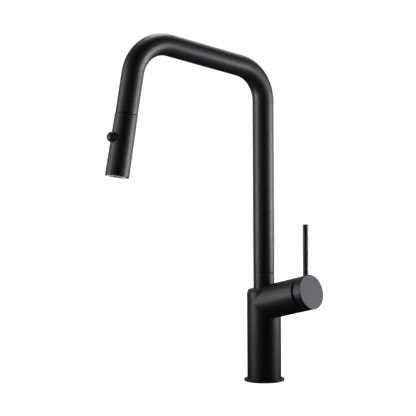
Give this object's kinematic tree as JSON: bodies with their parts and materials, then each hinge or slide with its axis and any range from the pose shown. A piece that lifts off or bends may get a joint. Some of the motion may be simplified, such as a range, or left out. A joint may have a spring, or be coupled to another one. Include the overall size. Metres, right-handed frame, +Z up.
{
  "type": "pull-down kitchen mixer tap",
  "caption": "Matte black single-lever kitchen mixer: square-bent swivel spout with a pull-down spray head and a side handle branch with a pin lever.",
  "frame": {"origin": "centre of the deck face, where the base gasket meets the worktop, on the column axis", "axes": "+Z up along the column; spout along -Y at rest; handle branch near +X, turned 10.2 degrees towards +Y and raised 12.8 degrees"},
  "size_m": [0.1154, 0.2789, 0.5224],
  "materials": {
    "matte_black": "matte black coat on brass and steel",
    "rubber": "matte",
    "black_plastic": "satin",
    "white_plastic": "natural acetal",
    "brass": "machined",
    "stainless": "brushed",
    "ceramic": "lapped alumina",
    "black_screw": "blackened",
    "hose_braid": "grey nylon braid",
    "magnet": "ferrite",
    "grey_plastic": "satin",
    "nozzle_silicone": "light grey silicone"
  },
  "bodies": {
    "mixer_body": {"base_gasket": "rubber", "base_flange": "matte_black", "body_shell": "matte_black", "spout_collar": "matte_black", "slip_ring": "black_plastic", "swivel_pivot": "brass", "lower_swivel_bush": "white_plastic", "upper_swivel_bush": "white_plastic", "fixing_stud": "stainless", "clamp_gasket": "rubber", "clamp_plate": "stainless", "stud_nut": "brass", "cartridge_base": "white_plastic", "cartridge_seals": "rubber", "fixed_ceramic_disc": "ceramic", "cartridge_housing": "white_plastic", "cartridge_nut": "brass"},
    "temperature_rotor": {"cartridge_rotor": "black_plastic", "stem_pivot_pin": "stainless"},
    "flow_slider": {"moving_ceramic_disc": "ceramic", "disc_carrier": "black_plastic"},
    "handle": {"cartridge_stem": "brass", "handle_cap": "matte_black", "lever_pin": "matte_black", "handle_grub_screw": "stainless"},
    "spout": {"spout_tube": "matte_black", "spout_retaining_screw": "black_screw", "pull_hose": "hose_braid", "spout_dock": "black_plastic", "dock_magnet": "magnet"},
    "hose_end": {"hose_ferrule": "stainless"},
    "spray_head": {"hose_nut": "stainless", "head_connector": "brass", "connector_ring": "stainless", "check_valve": "white_plastic", "head_shell": "matte_black", "diverter_body": "white_plastic", "diverter_seals": "rubber", "spray_plate": "grey_plastic", "nozzle_mat": "nozzle_silicone", "aerator_insert": "grey_plastic", "button_spring": "stainless"},
    "button": {"spray_button": "matte_black", "diverter_spool": "white_plastic"}
  },
  "joints": [
    {"name": "spout_swivel", "type": "hinge", "parent": "mixer_body", "child": "spout", "pos_m": [0, 0, 0.15], "axis": [0, 0, 1], "range_deg": [-75, 75]},
    {"name": "temperature_turn", "type": "hinge", "parent": "mixer_body", "child": "temperature_rotor", "pos_m": [0, 0, 0.1037], "axis": [0.9597, 0.1727, 0.2215], "range_deg": [-45, 45]},
    {"name": "flow_lift", "type": "hinge", "parent": "temperature_rotor", "child": "handle", "pos_m": [0.04991, 0.00898, 0.11522], "axis": [-0.1771, 0.9842, 0], "range_deg": [0, 20]},
    {"name": "disc_slide", "type": "slide", "parent": "temperature_rotor", "child": "flow_slider", "axis": [-0.218, -0.0392, 0.9751], "range_m": [0, 0.0027]},
    {"name": "head_pull", "type": "slide", "parent": "spout", "child": "hose_end", "axis": [0, -0.1822, -0.9833], "range_m": [0, 0.24]},
    {"name": "head_turn", "type": "hinge", "parent": "hose_end", "child": "spray_head", "pos_m": [0, -0.21838, 0.31826], "axis": [0, -0.1822, -0.9833], "range_deg": [-90, 90]},
    {"name": "button_press", "type": "slide", "parent": "spray_head", "child": "button", "axis": [0, 0.9833, -0.1822], "range_m": [0, 0.0025], "stiffness_N_per_m": 400, "springref_m": -0.001}
  ],
  "couplings": [
    {"joint": "disc_slide", "follows": "flow_lift", "m_per_rad": 0.0073}
  ]
}
